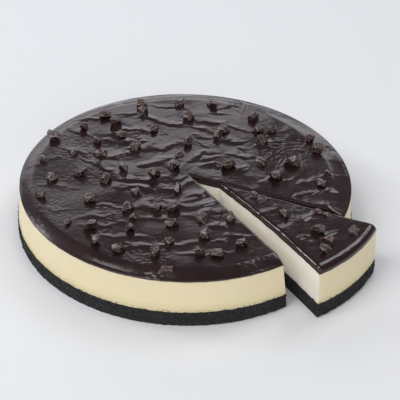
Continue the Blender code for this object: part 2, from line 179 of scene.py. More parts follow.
# Strokes that the palette knife left, in millimetres on the uncut cake. Each is a ridge: its left end, its
# right end, how far its middle bows backwards, its height, the width of its front and of its back slope
STROKES = (
    (-99, 66, -72, 51, -1.0, 0.46, 2.2, 5), (-94, 69, -66, 77, 1.0, 0.46, 2.0, 5),
    (-71, 98, -49, 104, 0.0, 0.67, 5.0, 4), (-56, 83, -38, 87, 0.5, 0.30, 1.5, 4),
    (-40, 81, 4, 71, -1.5, 0.83, 5.0, 7), (-54, 58, -27, 61, 1.5, 0.60, 3.0, 6),
    (-64, 52, -47, 57, 0.0, 0.67, 5.5, 4), (-68, 47, -55, 43, 0.0, 0.37, 1.8, 4),
    (-55, 48, -40, 46, 0.0, 0.90, 8.0, 4), (-46, 38, -35, 31, 0.0, 0.46, 3.0, 4),
    (-42, 53, -28, 57, 2.0, 0.37, 2.0, 6), (-38, 43, -26, 44, 0.0, 0.30, 1.5, 4),
    (-36, 33, 3, 43, 0.0, 0.74, 4.5, 8), (-68, 21, -35, 28, 0.0, 0.83, 5.0, 8),
    (-81, 21, -49, -3, 1.0, 0.60, 2.5, 5), (-37, 12, -1, 22, 0.0, 0.90, 7.0, 8),
    (-57, -1, 1, -2, -6.0, 1.06, 9.0, 6), (-58, -16, 9, -8, -8.0, 0.90, 6.0, 9),
    (-39, -43, 6, -42, -2.0, 0.97, 6.0, 13), (-64, -43, -34, -45, 0.0, 0.37, 3.0, 5),
    (-84, -61, -50, -52, 1.0, 0.30, 3.0, 5), (-82, -70, -38, -66, 2.0, 0.28, 2.0, 3),
    (-49, -92, 14, -85, -2.0, 0.60, 3.5, 6), (-8, -101, 40, -96, 0.0, 0.37, 2.0, 4),
    (15, -70, 42, -62, 0.0, 0.60, 4.0, 8), (-4, -54, 33, -45, 0.0, 0.53, 5.0, 5),
    (-5, -45, 30, -33, 0.0, 0.60, 4.0, 7), (-8, -38, 20, -20, -2.0, 0.90, 5.0, 12),
    (28, -78, 52, -77, 0.0, 0.46, 3.0, 5), (15, -84, 40, -80, 0.0, 0.30, 2.0, 3),
    (-62, -80, -24, -79, -1.0, 0.37, 3.0, 5), (-40, -58, 0, -57, 0.0, 0.37, 4.0, 5),
    (3, 80, 54, 60, 0.0, 0.60, 3.0, 7), (0, 70, 24, 59, 0.0, 0.53, 3.0, 6),
    (2, 57, 21, 50, 0.0, 0.37, 3.0, 4), (8, 50, 19, 33, 0.0, 0.30, 1.2, 1),
    (18, 46, 46, 50, 0.0, 0.74, 7.0, 4), (0, 18, 25, 34, 3.0, 0.60, 4.0, 7),
    (8, 22, 27, 26, 0.0, 0.46, 5.0, 4), (29, 29, 56, 23, 1.0, 0.53, 4.0, 7),
    (39, 39, 48, 38, 0.0, 0.53, 4.5, 3), (51, 41, 70, 39, 0.0, 0.60, 5.0, 4),
    (6, 14, 27, 14, 0.0, 0.90, 8.0, 4), (31, 6, 48, 9, 0.0, 0.74, 9.0, 4),
    (60, 53, 78, 53, 2.0, 0.37, 1.8, 3), (60, 50, 76, 45, 0.0, 0.37, 1.8, 3),
    (60, 47, 74, 40, 0.0, 0.37, 1.8, 3), (78, 38, 93, 31, 3.0, 0.37, 1.8, 3),
    (53, -10, 74, 4, 0.0, 0.46, 3.0, 5), (60, -15, 88, 1, 0.0, 0.30, 2.0, 4),
    (84, -13, 107, 5, 0.0, 0.50, 8.0, 5), (79, -31, 99, -14, 0.0, 1.20, 3.5, 4),
    (82, -35, 110, -38, 0.0, 0.50, 4.0, 8), (102, -19, 119, -14, 0.0, 0.40, 3.0, 6),
    (103, 2, 123, 8, 0.0, 0.45, 8.0, 4), (20, 96, 44, 101, 0.0, 0.37, 3.0, 5),
    (-30, 97, 0, 95, 0.0, 0.37, 3.0, 6), (14, 88, 36, 83, 0.0, 0.37, 2.5, 6),
    (-118, 8, -92, 22, 0.0, 0.22, 3.0, 6), (-112, -12, -78, -20, -2.0, 0.24, 5.0, 7),
    (-108, -40, -84, -52, -1.0, 0.20, 4.0, 5), (-100, 36, -72, 24, -1.0, 0.46, 4.0, 6),
    (58, -78, 88, -57, 0.0, 0.55, 3.0, 6), (54, -72, 71, -62, 0.0, 0.34, 2.5, 4),
    (44, -60, 75, -35, 0.0, 0.64, 3.5, 9), (27, -38, 46, -31, 0.0, 0.46, 3.0, 6),
    (22, -30, 38, -18, 0.0, 0.60, 3.0, 8), (60, -48, 92, -32, 0.0, 0.36, 3.0, 5),
)

# How a stroke fades out at its ends, how narrow it gets there, and the rounded part of its slope's run
STROKE_FADE = 0.7
STROKE_END = 0.4
SOFT_PART = 0.2

# How the strokes wander: how far they are pushed about, and over which width, with the layers of noise that
# push them to the right and back
SLOW_WANDER = (0.0030, 0.0130)
QUICK_WANDER = (0.0011, 0.0052)
PUSH_RIGHT = 21.0
PUSH_BACK = 27.0

# Edges sharper than this many degrees stay crisp: on stacked layers, on the spread and on the bits
CRISP_LAYER = 50.0
CRISP_SPREAD = 75.0
CRISP_BIT = 32.0

# Facets of the fine walls, and how fast their roughness fades out at the ends of a face
WALL_FACET = 0.0009
FACE_FADE = 20.0

# Broken walls carry finer lumps too: their depth and width against those of the coarser ones
FINER_DEPTH = 0.6
FINER_WIDTH = 0.35

# Rows of the filling's wall, and the depth and the width of the lumps on its side and on its cuts
FILLING_ROWS = 20
SIDE_LUMPS = (0.00016, 0.012)
CUT_LUMPS = (0.00012, 0.007)

# Rows of the crumb base's wall, how far its edges are drawn in below and above, the rise of its lowest row,
# and the lumps of its foot, its side, its cuts and its upper edge
CRUST_ROWS = 12
CRUST_FOOT_EDGE = 0.0008
CRUST_TOP_EDGE = 0.0012
CRUST_RISE = 0.0005
FOOT_CRUMBS = (0.0007, 0.0030)
SIDE_CRUMBS = (0.00045, 0.0036)
CUT_CRUMBS = (0.00045, 0.0030)
RISING_CRUMBS = (0.0009, 0.0036)

# Chopped bits: the usual width, the other two sizes against it, how deep they sit, how many corners they
# have, how far the corners stray round and in and out, how far a bit is tipped, and its worn edges
BIT_WIDTH = 0.0138
BIT_BREADTH = (0.64, 0.92)
BIT_DEPTH = (0.60, 0.84)
BIT_SUNK = 0.0024
BIT_CORNERS = 12
CORNER_TURN = 0.55
CORNER_REACH = (0.78, 1.10)
BIT_TIP = 0.5
BIT_BEVEL = 0.00032
BEVELLED_FROM = 12.0
BIT_SEED = 41

# Where the bits lie, in millimetres: each row's distance behind the middle, then its places across
BIT_ROWS = {
    100: (-6, 20),
    97: (-37,),
    85: (-35,),
    79: (-64, 2, 52),
    69: (-56,),
    62: (-80, -25, 29, 56, 67),
    52: (-51, 24, 96),
    46: (-103, 58),
    43: (-69, 2),
    36: (-39, 101),
    26: (-86, -65, -5),
    16: (-108, 57, 81),
    10: (-9, 32),
    5: (-47, 107),
    -2: (-79, 68),
    -6: (-36, -24),
    -9: (-100, -59, 101),
    -21: (-6,),
    -26: (-36,),
    -31: (-106,),
    -36: (-70,),
    -46: (-42, -20, -9),
    -57: (-37, 12, 33),
    -65: (-84, -9),
    -71: (-67, -39),
    -78: (14,),
    -88: (-63, -11, 41),
    -95: (-47,),
    -100: (-20, 11, 23),
    -118: (-13,),
}
SLICE_BIT_ROWS = {
    -27: (50,),
    -47: (98,),
    -49: (104,),
    -51: (72,),
    -70: (96, 121),
    -85: (101,),
    -94: (99,),
}

# Bits that are clearly larger or smaller than the rest
BIT_SCALE = {
    (81, 16): 1.06,
    (68, -2): 1.12,
    (32, 10): 1.10,
    (-9, 10): 1.04,
    (96, -70): 1.08,
    (-103, 46): 1.16,
    (-80, 62): 1.14,
    (98, -47): 0.75,
    (104, -49): 0.68,
    (50, -27): 0.80,
    (-36, -6): 0.50,
    (-69, 43): 0.86,
    (-5, 26): 0.74,
    (-108, 16): 0.76,
    (67, 62): 0.82,
    (107, 5): 0.58,
    (-37, -57): 0.78,
    (-51, 52): 0.88,
    (-86, 26): 0.68,
    (-84, -65): 0.76,
    (-20, -46): 0.78,
    (-36, -26): 0.90,
    (41, -88): 0.90,
}


# Shape of the spread

def smooth_step(t):
    """0 below 0, 1 above 1, and an even curve between."""
    t = np.clip(t, 0.0, 1.0)
    return t * t * (3.0 - 2.0 * t)


def wobble(x, y, width, layer):
    """A smooth field between about -1 and 1, whose lumps are about this wide."""
    return np.array([1.6 * noise.noise(Vector((a / width, b / width, layer))) for a, b in zip(x, y)])


def patches(x, y, width, layer, contrast, widened):
    """Patches with soft edges: 1 inside them and 0 between."""
    return smooth_step(contrast * wobble(x, y, width, layer) + widened)


def ramp_down(t):
    """1 at 0 down to 0 at 1: a straight slope with a rounded crest and foot."""
    t = np.clip(t, 0.0, 1.0)
    soft = SOFT_PART
    crest = 1.0 - np.minimum(t, soft) ** 2 / (2.0 * soft)
    straight = np.clip(t - soft, 0.0, 1.0 - 2.0 * soft)
    foot = np.clip(t - (1.0 - soft), 0.0, soft)
    return 1.0 + ((crest - 1.0) - straight - foot + foot ** 2 / (2.0 * soft)) / (1.0 - soft)


def stroke_height(x, y, stroke):
    """One knife stroke: a ridge that fades out at both ends, steeper in front than behind."""
    left, low, right, high, bow, height, front, back = (value * MILLIMETRE for value in stroke)
    run = Vector((right - left, high - low))
    length = run.length
    run.normalize()
    share = np.clip(((x - left) * run.x + (y - low) * run.y) / length, 0.0, 1.0)
    across = (y - low) * run.x - (x - left) * run.y - 4.0 * bow * share * (1.0 - share)
    taper = np.sin(math.pi * share) ** STROKE_FADE
    width = STROKE_END + (1.0 - STROKE_END) * taper
    slope = np.where(across > 0.0, across / back, -across / front) / width
    return height * taper * ramp_down(slope)


def satin(x):
    """Where the spread has dried to a satin: 1 at the far left, 0 in the rest."""
    return smooth_step((SATIN_EDGE - x) / SATIN_FADE)


def fine_height(x, y):
    """Fine relief along the sweep of the knife: streaks in places, uneven ruffles and faint wrinkles."""
    across = y + FLOW_BEND * wobble(x, y, *FLOW)
    streaks = 0.5 - np.abs(wobble(x, STREAK_STRETCH * across, *STREAKS))
    streaky = patches(x, y, *STREAKY_PATCHES)
    folds = 1.0 - 2.0 * np.abs(wobble(x, FOLD_STRETCH * across, *FOLDS))
    ruffles = folds + RUFFLES_IN_FOLDS * wobble(x, across, *RUFFLES)
    ruffled = LEAST_RUFFLED + (1.0 - LEAST_RUFFLED) * patches(x, y, *RUFFLED_PATCHES)
    wrinkles = wobble(x, WRINKLE_STRETCH * across, *WRINKLES)
    wrinkled = patches(x, y, *WRINKLED_PATCHES) + SATIN_WRINKLES * satin(x)
    past_line = (-CALM_SLANT * x - y - CALM_EDGE) / CALM_FADE
    kept = 1.0 - CALM * smooth_step(past_line)
    relief = STREAK_HEIGHT * streaky * streaks + RUFFLE_HEIGHT * ruffled * ruffles
    return kept * relief + WRINKLE_HEIGHT * wrinkled * wrinkles


def pushed(x, y, layer):
    """How far a place is pushed sideways by the strokes' wandering."""
    return sum(far * wobble(x, y, over, layer + over) for far, over in (SLOW_WANDER, QUICK_WANDER))


def rim_fall(x, y, lipped):
    """Share of the way out over the rim's fall, and how far the spread has fallen there."""
    angle = np.arctan2(y, x)
    nearness = np.cos(angle - math.radians(THICK_RIM))
    thick = lipped * smooth_step((nearness - THICK_FROM) / (THICK_FULL - THICK_FROM))
    broad = RIM_FALL + RIM_FALL_SWING * np.cos(angle - math.radians(BROAD_RIM))
    width = broad + (SHORT_FALL - broad) * thick
    lip = THIN_LIP + (THICK_LIP - THIN_LIP) * thick
    share = np.clip(1.0 - (GANACHE_RADIUS - np.hypot(x, y)) / width, 0.0, 1.0)
    late = LATE_PART * thick
    curve = (1.0 - late) * share ** EVEN_SINK + late * share ** LATE_SINK
    return share, (GANACHE_THICK - lip) * curve


def spread_height(x, y, lipped):
    """Height of the ganache over its nominal top, at places on the uncut cake."""
    x, y = np.asarray(x), np.asarray(y)
    near, far = x + pushed(x, y, PUSH_RIGHT), y + pushed(x, y, PUSH_BACK)
    pressure = LIGHT_HAND + HEAVY_HAND * patches(x, PATCH_STRETCH * y, *PRESSED_PATCHES)
    strokes = pressure * sum(stroke_height(near, far, stroke) for stroke in STROKES)
    swell = SWELL_HEIGHT * wobble(x, y, *SWELL) + MOUND_HEIGHT * wobble(x, y, *MOUNDS)
    relief = strokes - STROKES_SUNK + swell + fine_height(x, y)
    share, drop = rim_fall(x, y, lipped)
    return smooth_step(RELIEF_FADE * (1.0 - share)) * relief - drop


def rounded_edge(distance):
    """How far the knife has pressed down the spread at a distance in from a cut."""
    return 0.5 * CUT_SLOPE * CUT_ROUND * np.clip(1.0 - distance / CUT_ROUND, 0.0, 1.0) ** 2


# Plan of a cut portion

def heading(degrees):
    """The unit direction at this many degrees from +X."""
    return Vector((math.cos(math.radians(degrees)), math.sin(math.radians(degrees))))


def reach(point, degrees, centre, radius):
    """How far a ray from point runs before it meets the circle."""
    offset = point - centre
    along = offset.dot(heading(degrees))
    return -along + math.sqrt(along * along - offset.length_squared + radius * radius)


class Portion:
    """One cut portion in plan: a point, two faces, of which the first may be hollow, and a round back."""

    def __init__(self, point, centre, start, end, lean, flare, hollow, lipped, pressed):
        self.point = point
        self.centre = centre
        self.start = start
        self.end = end
        self.lean = lean
        self.flare = flare
        self.hollow = hollow
        self.lipped = lipped
        self.pressed = pressed
        self.facets = round(math.radians(end - start) * GANACHE_RADIUS / WALL_FACET)
        self.length = reach(point, start, centre, FILLING_RADIUS)
        self.steps = round(self.length / WALL_FACET)

    def corner(self, degrees, radius):
        """Where the face in this direction meets the round back."""
        return self.point + reach(self.point, degrees, self.centre, radius) * heading(degrees)

    def hollow_at(self, along):
        """How far the first face is hollowed at a distance from the point."""
        share = min(1.0, max(0.0, along / self.length))
        return 4.0 * self.hollow * share * (1.0 - share)

    def face(self, degrees, radius, rough=None, side=1.0):
        """Places along a face from the point outwards, without its outer corner."""
        last = self.corner(degrees, radius)
        outward = side * Vector((math.sin(math.radians(degrees)), -math.cos(math.radians(degrees))))
        places = []
        for i in range(self.steps):
            share = i / self.steps
            place = self.point.lerp(last, share)
            if degrees == self.start:
                place = place - self.hollow_at(share * self.length) * outward
            if rough and i:
                place = place + rough(place) * min(1.0, FACE_FADE * share * (1.0 - share)) * outward
            places.append(place)
        return places

    def back(self, radius, end, rough=None):
        """Places along the round back between its two corners."""
        begin = math.atan2(*(self.corner(self.start, radius) - self.centre).yx)
        finish = math.atan2(*(self.corner(end, radius) - self.centre).yx)
        while finish <= begin:
            finish += math.tau
        places = []
        for i in range(1, self.facets):
            angle = begin + (finish - begin) * i / self.facets
            outward = Vector((math.cos(angle), math.sin(angle)))
            place = self.centre + radius * outward
            if rough:
                place += rough(place) * outward
            places.append(place)
        return places

    def outline(self, radius, height, rough=None, face_rough=None):
        """The outline at one level, counter-clockwise from the point."""
        radius = FILLING_RADIUS + self.flare * (radius - FILLING_RADIUS)
        end = self.end + self.lean * max(0.0, 1.0 - height / FILLING_TOP)
        right = self.face(self.start, radius, face_rough)
        left = self.face(end, radius, face_rough, -1.0)
        corners = [self.corner(degrees, radius) for degrees in (self.start, end)]
        return right + corners[:1] + self.back(radius, end, rough) + corners[1:] + left[:0:-1]

    def rim_distance(self, spot, radius):
        """Distance in from the round back."""
        return radius - (spot - self.centre).length

    def cut_distance(self, spot):
        """Distance in from the nearer straight face, below zero beyond both."""
        offset = spot - self.point
        first = heading(self.start)
        sides = first.cross(offset) - self.hollow_at(first.dot(offset)), offset.cross(heading(self.end))
        return max(sides) if self.end - self.start > 180.0 else min(sides)

    def inside(self, spot, radius, margin):
        """Whether a spot lies in the portion, at least margin away from its outline."""
        return self.rim_distance(spot, radius) > margin and self.cut_distance(spot) > margin


WHOLE = Portion(NOTCH_POINT, Vector((0.0, 0.0)), NOTCH_RIGHT_WALL, NOTCH_LEFT_WALL + 360.0, NOTCH_LEAN, 1.0,
                0.0, 0.0, 0.45)
SLICE = Portion(SLICE_POINT, SLICE_SHIFT, SLICE_LEFT_FACE, SLICE_RIGHT_FACE, 0.0, SLICE_FLARE,
                SLICE_HOLLOW, 1.0, 1.0)


# Mesh helpers

def mesh_piece(name, vertices, faces, material):
    """A smooth-shaded piece whose faces all point outwards."""
    mesh = bpy.data.meshes.new(name)
    mesh.from_pydata(vertices, [], faces)
    work = bmesh.new()
    work.from_mesh(mesh)
    bmesh.ops.recalc_face_normals(work, faces=work.faces)
    work.to_mesh(mesh)
    work.free()
    mesh.materials.append(material)
    mesh.shade_smooth()
    piece = bpy.data.objects.new(name, mesh)
    bpy.context.scene.collection.objects.link(piece)
    return piece


def bridge(lower, count):
    """The wall between two closed rows of the same length, the upper one straight after the lower."""
    faces = []
    for i in range(count):
        following = (i + 1) % count
        faces.append((lower + i, lower + following, lower + count + following, lower + count + i))
    return faces


def stack(name, portion, levels, material):
    """A solid stacked from outlines: levels holds (height, radius, back roughness, face roughness, lift)."""
    vertices, faces, count = [], [], 0
    for row, (height, radius, rough, face_rough, lift) in enumerate(levels):
        outline = portion.outline(radius, height, rough, face_rough)
        count = len(outline)
        for spot in outline:
            vertices.append((spot.x, spot.y, height + (lift(spot) if lift else 0.0)))
        if row:
            faces += bridge((row - 1) * count, count)
    faces.append(tuple(reversed(range(count))))
    faces.append(tuple(range((len(levels) - 1) * count, len(levels) * count)))
    piece = mesh_piece(name, vertices, faces, material)
    piece.data.set_sharp_from_angle(angle=math.radians(CRISP_LAYER))
    return piece


def field(depth, size, height, layer):
    """A roughness function for one level of a wall."""
    def rough(spot):
        return depth * noise.noise(Vector((spot.x / size, spot.y / size, height / size + layer)))
    return rough


def lumps(depth, size, height, layer):
    """Two sizes of roughness together, as broken crumb has."""
    coarse = field(depth, size, height, layer)
    fine = field(FINER_DEPTH * depth, FINER_WIDTH * size, height, layer + 11.0)
    return lambda spot: coarse(spot) + fine(spot)


def add_values(piece, name, kind, domain, values):
    """Store one value or vector for each vertex or face, for the materials to read."""
    layer = piece.data.attributes.new(name, kind, domain)
    layer.data.foreach_set("vector" if kind == "FLOAT_VECTOR" else "value", values)


# Ganache

def top_heights(portion, spots):
    """Heights of the ganache's surface at places on this portion."""
    x = np.array([spot.x for spot in spots]) - portion.centre.x
    y = np.array([spot.y for spot in spots]) - portion.centre.y
    cut = portion.pressed * rounded_edge(np.array([portion.cut_distance(spot) for spot in spots]))
    return GANACHE_TOP + spread_height(x, y, portion.lipped) - cut


def grid_spots(portion):
    """Evenly spread places inside the portion, in staggered rows."""
    spots = []
    reach_out = GANACHE_RADIUS + SLICE_SHIFT.length
    row_pitch = TOP_GRID * math.sqrt(0.75)
    for row in range(int(2.0 * reach_out / row_pitch)):
        y = row_pitch * row - reach_out
        for column in range(int(2.0 * reach_out / TOP_GRID)):
            x = TOP_GRID * (column + 0.5 * (row % 2)) - reach_out
            spot = Vector((x, y))
            far_from_rim = portion.rim_distance(spot, GANACHE_RADIUS) > GRID_IN_RIM * TOP_GRID
            if far_from_rim and portion.cut_distance(spot) > CUT_ROUND + GRID_IN_CUT * TOP_GRID:
                spots.append(spot)
    return spots


def edge_spots(portion):
    """Places close along the rim and the two rounded cut edges."""
    spots = []
    for ring in RIM_RINGS:
        places = portion.back(GANACHE_RADIUS - ring, portion.end)
        spots += [place for place in places if portion.cut_distance(place) > CUT_ROUND + RIM_RINGS[0]]
    for side, degrees in ((1.0, portion.start), (-1.0, portion.end)):
        inward = side * Vector((-math.sin(math.radians(degrees)), math.cos(math.radians(degrees))))
        for share in CUT_ROWS:
            for place in portion.face(degrees, GANACHE_RADIUS):
                spot = place + share * CUT_ROUND * inward
                if portion.inside(spot, GANACHE_RADIUS - RIM_RINGS[0], CUT_ROW_CLEAR * share * CUT_ROUND):
                    spots.append(spot)
    return spots


def ganache_piece(name, portion, material):
    """The spread: knife strokes, a low rim, rounded cuts, and a lower edge that wanders over the filling."""
    outline = portion.outline(GANACHE_RADIUS, GANACHE_TOP)
    count = len(outline)
    loop = [(i, (i + 1) % count) for i in range(count)]
    spots = outline + edge_spots(portion) + grid_spots(portion)
    flat, _, triangles = geometry.delaunay_2d_cdt(spots, loop, [], 0, 1e-7, False)[:3]
    vertices = [(spot.x, spot.y, height) for spot, height in zip(flat, top_heights(portion, flat))]
    faces = []
    for triangle in triangles:
        middle = sum((flat[i] for i in triangle), Vector((0.0, 0.0))) / 3.0
        if portion.inside(middle, GANACHE_RADIUS, SLIVER):
            faces.append(tuple(triangle))
    above = list(range(count))
    for share in WALL_ROWS:
        rough = field(*WALL_LUMPS, share * WALL_READ, 2.0)
        row = portion.outline(GANACHE_RADIUS, GANACHE_TOP, None, rough)
        below = []
        for i, spot in enumerate(row):
            ragged = EDGE_WANDER if portion.cut_distance(spot) > CUT_EDGE_REACH else CUT_EDGE_WANDER
            place = spot.to_3d()
            wave = noise.noise(place / BROAD_WAVE) + FINE_WAVE_PART * noise.noise(place / FINE_WAVE)
            edge = FILLING_TOP + ragged * wave
            top = vertices[i][2]
            below.append(len(vertices))
            vertices.append((spot.x, spot.y, top + (edge - top) * share))
        faces += [(above[a], above[b], below[b], below[a]) for a, b in loop]
        above = below
    faces.append(tuple(above))
    piece = mesh_piece(name, vertices, faces, material)
    piece.data.set_sharp_from_angle(angle=math.radians(CRISP_SPREAD))
    sweep = []
    for vertex in piece.data.vertices:
        home = vertex.co.xy - portion.centre
        sweep += [home.x, home.y - SWEEP_BEND * home.x * home.x, vertex.co.z]
    add_values(piece, "sweep", "FLOAT_VECTOR", "POINT", sweep)
    near_cut = [portion.pressed * (1.0 - portion.cut_distance(vertex.co.xy) / CUT_ROUND)
                for vertex in piece.data.vertices]
    add_values(piece, "pressed", "FLOAT", "POINT", [min(1.0, max(0.0, 2.0 * share)) for share in near_cut])
    home = np.array([vertex.co.xy - portion.centre for vertex in piece.data.vertices])
    add_values(piece, "satin", "FLOAT", "POINT", satin(home[:, 0]))
    return piece


# Filling and crumb base

def filling_piece(name, portion, material):
    """The filling, leaning in towards its top; "cut" marks its straight faces."""
    foot = CRUST_TOP - TUCK
    top = FILLING_TOP + TUCK
    levels = []
    for row in range(FILLING_ROWS + 1):
        share = row / FILLING_ROWS
        height = foot + share * (top - foot)
        radius = FILLING_FOOT_RADIUS + share * (FILLING_RADIUS - FILLING_FOOT_RADIUS)
        side, cuts = lumps(*SIDE_LUMPS, height, 6.0), lumps(*CUT_LUMPS, height, 8.0)
        levels.append((height, radius, side, cuts, None))
    piece = stack(name, portion, levels, material)
    round_back = [0.0] * portion.facets
    row = [1.0] * portion.steps + round_back + [1.0] * portion.steps
    add_values(piece, "cut", "FLOAT", "FACE", row * FILLING_ROWS + [0.0, 0.0])
    return piece


def crust_piece(name, portion, material):
    """The pressed crumb base, with a lumpy wall and an uneven upper edge."""
    levels = [(0.0, CRUST_RADIUS - CRUST_FOOT_EDGE, lumps(*FOOT_CRUMBS, 0.0, 1.0), None, None)]
    rise, width = RISING_CRUMBS
    for row in range(1, CRUST_ROWS + 1):
        share = row / CRUST_ROWS
        height = CRUST_RISE + share * (CRUST_TOP - CRUST_RISE - TUCK)
        side, cuts = lumps(*SIDE_CRUMBS, height, 1.0), lumps(*CUT_CRUMBS, height, 2.0)
        levels.append((height, CRUST_RADIUS, side, cuts, lumps(rise * share, width, 0.0, 3.0)))
    levels.append((CRUST_TOP - 0.5 * TUCK, CRUST_RADIUS - CRUST_TOP_EDGE, None, None, None))
    return stack(name, portion, levels, material)


# Chopped chocolate

def chopped_bit(chance, width):
    """Corner points of one broken bit of chocolate: a tumbled, uneven lump with flat, sharp-edged sides."""
    size = Vector((1.0, chance.uniform(*BIT_BREADTH), chance.uniform(*BIT_DEPTH))) * width / 2.0
    tipped = [chance.uniform(-BIT_TIP, BIT_TIP), chance.uniform(-BIT_TIP, BIT_TIP)]
    tumble = Euler([*tipped, chance.uniform(0.0, math.tau)])
    golden_angle = math.pi * (3.0 - math.sqrt(5.0))
    corners = []
    for i in range(BIT_CORNERS):
        rise = 1.0 - 2.0 * (i + 0.5) / BIT_CORNERS
        angle = i * golden_angle + chance.uniform(-CORNER_TURN, CORNER_TURN)
        ring = math.sqrt(1.0 - rise * rise)
        place = Vector((ring * math.cos(angle), ring * math.sin(angle), rise))
        place *= chance.uniform(*CORNER_REACH)
        place = Vector([part * half for part, half in zip(place, size)])
        place.rotate(tumble)
        corners.append(place)
    return corners


def add_bit(work, corners, place):
    """One closed lump round a bit's corners."""
    made = [work.verts.new(corner + place) for corner in corners]
    hull = bmesh.ops.convex_hull(work, input=made)
    loose = list({*hull["geom_interior"], *hull["geom_unused"]})
    bmesh.ops.delete(work, geom=[v for v in loose if isinstance(v, bmesh.types.BMVert)], context="VERTS")


def bits_mesh():
    """All the chopped bits, each sunk a little way into the spread; a face attribute marks their bevelled
    edges, which the finish paints paler: partly wear, partly a painted highlight.
    """
    work = bmesh.new()
    edge_wear_and_glint = work.faces.layers.float.new("edge_wear_and_glint")
    for portion, rows in ((WHOLE, BIT_ROWS), (SLICE, SLICE_BIT_ROWS)):
        for behind, places in rows.items():
            for right in places:
                chance = random.Random(f"{BIT_SEED} {behind} {right}")
                corners = chopped_bit(chance, BIT_WIDTH * BIT_SCALE.get((right, behind), 1.0))
                spot = Vector((right, behind)) * MILLIMETRE
                low = min(corner.z for corner in corners)
                home = spot - portion.centre
                surface = GANACHE_TOP + spread_height([home.x], [home.y], portion.lipped)[0]
                add_bit(work, corners, Vector((spot.x, spot.y, surface - low - BIT_SUNK)))
    bmesh.ops.recalc_face_normals(work, faces=work.faces)
    edges = [edge for edge in work.edges if edge.calc_face_angle(0.0) > math.radians(BEVELLED_FROM)]
    bevelled = bmesh.ops.bevel(work, geom=edges, offset=BIT_BEVEL, segments=1, affect="EDGES",
                               clamp_overlap=True)
    for face in bevelled["faces"]:
        face[edge_wear_and_glint] = 1.0
    mesh = bpy.data.meshes.new("chopped_bits")
    work.to_mesh(mesh)
    work.free()
    return mesh


# Geometry Nodes

class Tree:
    """A geometry tree under construction, with named sizes as its inputs."""

    def __init__(self, name, **sizes):
        self.group = bpy.data.node_groups.new(name, "GeometryNodeTree")
        self.group.interface.new_socket("Geometry", in_out="INPUT", socket_type="NodeSocketGeometry")
        self.group.interface.new_socket("Geometry", in_out="OUTPUT", socket_type="NodeSocketGeometry")
        for title, value in sizes.items():
            kind = "NodeSocketMaterial" if value is None else "NodeSocketFloat"
            socket = self.group.interface.new_socket(title, in_out="INPUT", socket_type=kind)
            if value is not None:
                socket.default_value = value
        self.source = self.add("NodeGroupInput")
        self.result = self.add("NodeGroupOutput")

    def add(self, kind, links=None, **settings):
        """A node with its settings, its inputs taken from links: socket name or place to output or value."""
        node = self.group.nodes.new(kind)
        for key, value in settings.items():
            setattr(node, key, value)
        for key, value in (links or {}).items():
            if isinstance(value, bpy.types.NodeSocket):
                self.group.links.new(value, node.inputs[key])
            else:
                node.inputs[key].default_value = value
        return node

    def size(self, title):
        return self.source.outputs[title]

    def math(self, operation, first, second=0.0):
        node = self.add("ShaderNodeMath", {0: first, 1: second}, operation=operation)
        return node.outputs[0]

    def pushed(self, made, height, depth):
        """Move the surface in and out along its normals by a height of 0 to 1, never outwards."""
        normal = self.add("GeometryNodeInputNormal")
        centred = self.math("SUBTRACT", height, 1.0)
        far = self.math("MULTIPLY", centred, depth)
        offset = self.add("ShaderNodeVectorMath", {0: normal.outputs[0], "Scale": far}, operation="SCALE")
        moved = self.add("GeometryNodeSetPosition", {"Geometry": made, "Offset": offset.outputs[0]})
        return moved.outputs[0]

    def finish(self, made):
        """End in Realize Instances and Set Material."""
        real = self.add("GeometryNodeRealizeInstances", {"Geometry": made})
        dressed = self.add("GeometryNodeSetMaterial", {
            "Geometry": real.outputs[0], "Material": self.size("Material")})
        self.group.links.new(dressed.outputs[0], self.result.inputs[0])
        return self.group


def grown(piece, group, **sizes):
    """Run a tree on the piece and keep the result as its plain mesh."""
    modifier = piece.modifiers.new(group.name, "NODES")
    modifier.node_group = group
    for socket in group.interface.items_tree:
        if socket.item_type == "SOCKET" and socket.in_out == "INPUT" and socket.name in sizes:
            modifier[socket.identifier] = sizes[socket.name]
    evaluated = piece.evaluated_get(bpy.context.evaluated_depsgraph_get())
    mesh = bpy.data.meshes.new_from_object(evaluated)
    piece.modifiers.clear()
    piece.data = mesh
    mesh.name = piece.name
    return piece


def broken_bits_tree():
    """Roughen sharp lumps into broken chocolate: split the faces, then chip and grain them."""
    tree = Tree("broken_bits", Dent=0.0004, Chip=0.0004, Grain=0.0002, DentScale=220.0, ChipScale=300.0,
                GrainScale=1600.0, Material=None)
    split = tree.add("GeometryNodeSubdivideMesh", {"Mesh": tree.source.outputs[0], "Level": 2})
    broad = tree.add("ShaderNodeTexNoise", {"Scale": tree.size("DentScale"), "Detail": 0.0})
    chips = tree.add("ShaderNodeTexVoronoi", {"Scale": tree.size("ChipScale")})
    fine = tree.add("ShaderNodeTexNoise", {"Scale": tree.size("GrainScale"), "Detail": 2.0})
    made = tree.pushed(split.outputs[0], broad.outputs[0], tree.size("Dent"))
    made = tree.pushed(made, chips.outputs[0], tree.size("Chip"))
    return tree.finish(tree.pushed(made, fine.outputs[0], tree.size("Grain")))


